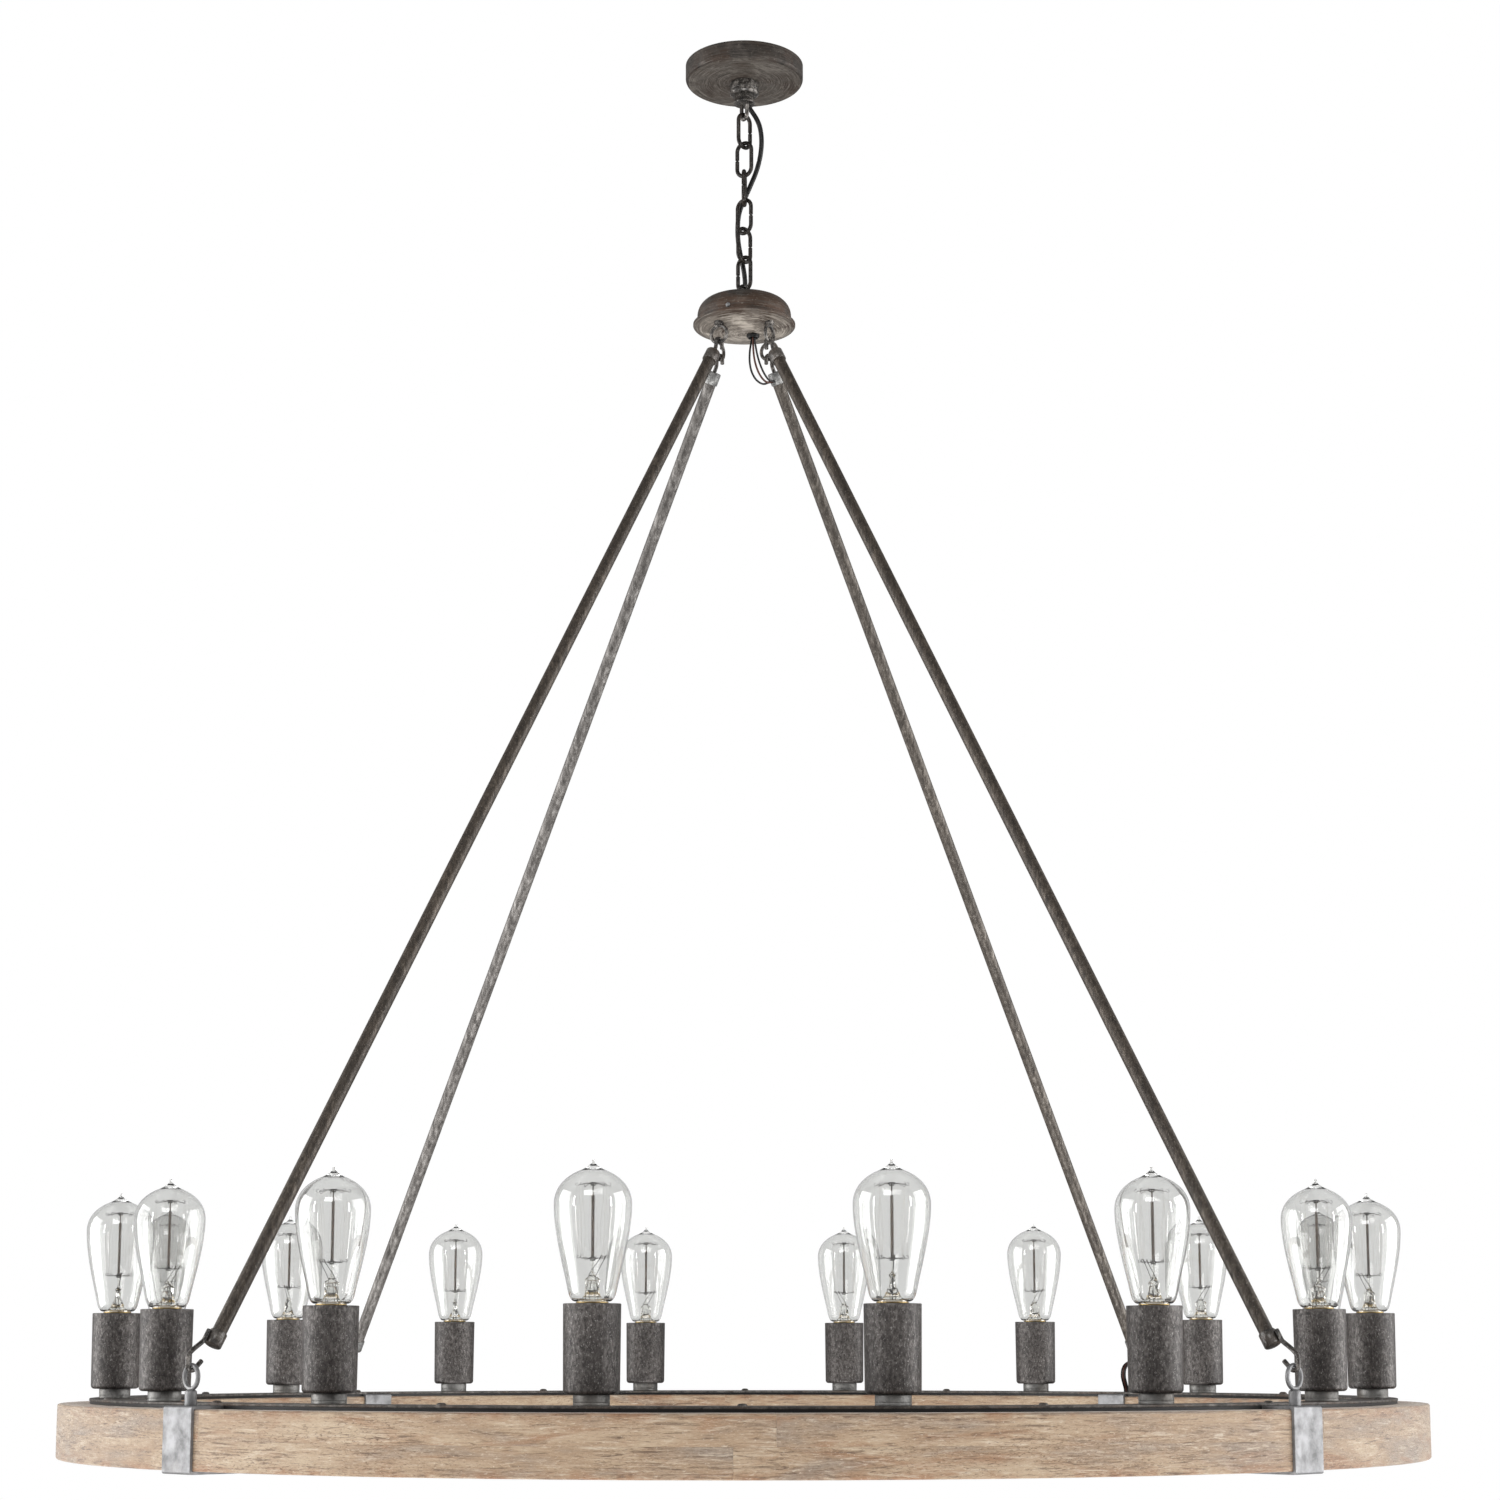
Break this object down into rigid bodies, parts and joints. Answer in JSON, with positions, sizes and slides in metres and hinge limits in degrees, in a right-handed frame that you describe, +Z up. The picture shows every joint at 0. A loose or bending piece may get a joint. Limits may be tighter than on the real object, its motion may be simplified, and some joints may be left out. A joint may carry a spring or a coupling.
{
  "type": "ring chandelier",
  "caption": "Timber ring chandelier with open glass lamps in metal cups, hung by four hooked rods, a domed hub and a chain from a round ceiling canopy.",
  "frame": {"origin": "middle of the ceiling plane, on the pattern of the canopy's two mounting holes", "axes": "+Z up to the ceiling, -Y to the front as pictured, +X to the right"},
  "size_m": [1.36, 1.36, 1.4936],
  "materials": {
    "aged_iron": "matte aged dark iron with brown and grey mottling",
    "zinc": "weathered galvanised steel",
    "green_screw": "green plated screw",
    "cord": "black insulated wire",
    "black_plastic": "black moulded plastic",
    "connector_plastic": "orange moulded plastic",
    "oak": "limed grey-brown open-grained timber",
    "shell_brass": "plain brass",
    "lamp_glass": "clear blown glass"
  },
  "bodies": {
    "canopy": {"canopy": "aged_iron", "crossbar": "zinc", "ground_screw": "green_screw", "canopy_nipple": "zinc", "canopy_locknut": "zinc", "canopy_collar": "aged_iron", "canopy_loop": "aged_iron", "supply_cord": "cord"},
    "chain_link_1": {"chain_link_1": "aged_iron"},
    "chain_link_2": {"chain_link_2": "aged_iron"},
    "chain_link_3": {"chain_link_3": "aged_iron"},
    "chain_link_4": {"chain_link_4": "aged_iron"},
    "chain_link_5": {"chain_link_5": "aged_iron"},
    "chain_link_6": {"chain_link_6": "aged_iron"},
    "hub_loop": {"hub_loop": "aged_iron"},
    "frame": {"hub_cap": "aged_iron", "hub_plate": "aged_iron", "hub_nipple": "zinc", "hub_bushings": "black_plastic", "hub_screws": "zinc", "hub_nuts": "zinc", "hub_eyes": "aged_iron", "wire_connectors": "connector_plastic", "rod_feed_wires": "cord", "front_left_rod": "aged_iron", "front_right_rod": "aged_iron", "back_left_rod": "aged_iron", "back_right_rod": "aged_iron", "rod_sleeves": "aged_iron", "upper_hooks": "aged_iron", "lower_hooks": "aged_iron", "strap_eyes": "zinc", "straps": "zinc", "wood_ring_upper": "oak", "wood_ring_lower": "oak", "metal_band": "aged_iron", "band_screws": "aged_iron", "ring_wires": "cord", "socket_necks": "aged_iron", "socket_cups": "aged_iron", "socket_nipples": "zinc", "socket_nuts": "zinc", "lampholders": "black_plastic", "socket_contacts": "shell_brass"},
    "bulb_01": {"bulb_01": "lamp_glass"},
    "bulb_02": {"bulb_02": "lamp_glass"},
    "bulb_03": {"bulb_03": "lamp_glass"},
    "bulb_04": {"bulb_04": "lamp_glass"},
    "bulb_05": {"bulb_05": "lamp_glass"},
    "bulb_06": {"bulb_06": "lamp_glass"},
    "bulb_07": {"bulb_07": "lamp_glass"},
    "bulb_08": {"bulb_08": "lamp_glass"},
    "bulb_09": {"bulb_09": "lamp_glass"},
    "bulb_10": {"bulb_10": "lamp_glass"},
    "bulb_11": {"bulb_11": "lamp_glass"},
    "bulb_12": {"bulb_12": "lamp_glass"},
    "bulb_13": {"bulb_13": "lamp_glass"},
    "bulb_14": {"bulb_14": "lamp_glass"},
    "bulb_15": {"bulb_15": "lamp_glass"},
    "bulb_16": {"bulb_16": "lamp_glass"}
  },
  "joints": [
    {"name": "link_1_swing", "type": "hinge", "parent": "canopy", "child": "chain_link_1", "pos_m": [0, 0, -0.061], "axis": [0.5, -0.866, 0], "range_deg": [-10, 10], "deforming": ["supply_cord"]},
    {"name": "link_2_swing", "type": "hinge", "parent": "chain_link_1", "child": "chain_link_2", "pos_m": [0, 0, -0.0936], "axis": [0.7071, 0.7071, 0], "range_deg": [-10, 10]},
    {"name": "link_3_swing", "type": "hinge", "parent": "chain_link_2", "child": "chain_link_3", "pos_m": [0, 0, -0.1262], "axis": [0.866, -0.5, 0], "range_deg": [-10, 10]},
    {"name": "link_4_swing", "type": "hinge", "parent": "chain_link_3", "child": "chain_link_4", "pos_m": [0, 0, -0.1588], "axis": [0.0872, 0.9962, 0], "range_deg": [-10, 10]},
    {"name": "link_5_swing", "type": "hinge", "parent": "chain_link_4", "child": "chain_link_5", "pos_m": [0, 0, -0.1914], "axis": [0.8192, -0.5736, 0], "range_deg": [-10, 10]},
    {"name": "link_6_swing", "type": "hinge", "parent": "chain_link_5", "child": "chain_link_6", "pos_m": [0, 0, -0.224], "axis": [0.7431, 0.6691, 0], "range_deg": [-10, 10]},
    {"name": "hub_loop_swing", "type": "hinge", "parent": "chain_link_6", "child": "hub_loop", "pos_m": [0, 0, -0.2566], "axis": [0.766, -0.6428, 0], "range_deg": [-10, 10]},
    {"name": "hub_turn", "type": "hinge", "parent": "hub_loop", "child": "frame", "pos_m": [0, 0, -0.268], "axis": [0, 0, 1], "range_deg": [-30, 30]},
    {"name": "bulb_01_turn", "type": "hinge", "parent": "frame", "child": "bulb_01", "pos_m": [0.61397, 0.12213, -1.3505], "axis": [0, 0, 1], "range_deg": [0, 1080]},
    {"name": "bulb_02_turn", "type": "hinge", "parent": "frame", "child": "bulb_02", "pos_m": [0.5205, 0.34779, -1.3505], "axis": [0, 0, 1], "range_deg": [0, 1080]},
    {"name": "bulb_03_turn", "type": "hinge", "parent": "frame", "child": "bulb_03", "pos_m": [0.34779, 0.5205, -1.3505], "axis": [0, 0, 1], "range_deg": [0, 1080]},
    {"name": "bulb_04_turn", "type": "hinge", "parent": "frame", "child": "bulb_04", "pos_m": [0.12213, 0.61397, -1.3505], "axis": [0, 0, 1], "range_deg": [0, 1080]},
    {"name": "bulb_05_turn", "type": "hinge", "parent": "frame", "child": "bulb_05", "pos_m": [-0.12213, 0.61397, -1.3505], "axis": [0, 0, 1], "range_deg": [0, 1080]},
    {"name": "bulb_06_turn", "type": "hinge", "parent": "frame", "child": "bulb_06", "pos_m": [-0.34779, 0.5205, -1.3505], "axis": [0, 0, 1], "range_deg": [0, 1080]},
    {"name": "bulb_07_turn", "type": "hinge", "parent": "frame", "child": "bulb_07", "pos_m": [-0.5205, 0.34779, -1.3505], "axis": [0, 0, 1], "range_deg": [0, 1080]},
    {"name": "bulb_08_turn", "type": "hinge", "parent": "frame", "child": "bulb_08", "pos_m": [-0.61397, 0.12213, -1.3505], "axis": [0, 0, 1], "range_deg": [0, 1080]},
    {"name": "bulb_09_turn", "type": "hinge", "parent": "frame", "child": "bulb_09", "pos_m": [-0.61397, -0.12213, -1.3505], "axis": [0, 0, 1], "range_deg": [0, 1080]},
    {"name": "bulb_10_turn", "type": "hinge", "parent": "frame", "child": "bulb_10", "pos_m": [-0.5205, -0.34779, -1.3505], "axis": [0, 0, 1], "range_deg": [0, 1080]},
    {"name": "bulb_11_turn", "type": "hinge", "parent": "frame", "child": "bulb_11", "pos_m": [-0.34779, -0.5205, -1.3505], "axis": [0, 0, 1], "range_deg": [0, 1080]},
    {"name": "bulb_12_turn", "type": "hinge", "parent": "frame", "child": "bulb_12", "pos_m": [-0.12213, -0.61397, -1.3505], "axis": [0, 0, 1], "range_deg": [0, 1080]},
    {"name": "bulb_13_turn", "type": "hinge", "parent": "frame", "child": "bulb_13", "pos_m": [0.12213, -0.61397, -1.3505], "axis": [0, 0, 1], "range_deg": [0, 1080]},
    {"name": "bulb_14_turn", "type": "hinge", "parent": "frame", "child": "bulb_14", "pos_m": [0.34779, -0.5205, -1.3505], "axis": [0, 0, 1], "range_deg": [0, 1080]},
    {"name": "bulb_15_turn", "type": "hinge", "parent": "frame", "child": "bulb_15", "pos_m": [0.5205, -0.34779, -1.3505], "axis": [0, 0, 1], "range_deg": [0, 1080]},
    {"name": "bulb_16_turn", "type": "hinge", "parent": "frame", "child": "bulb_16", "pos_m": [0.61397, -0.12213, -1.3505], "axis": [0, 0, 1], "range_deg": [0, 1080]}
  ]
}
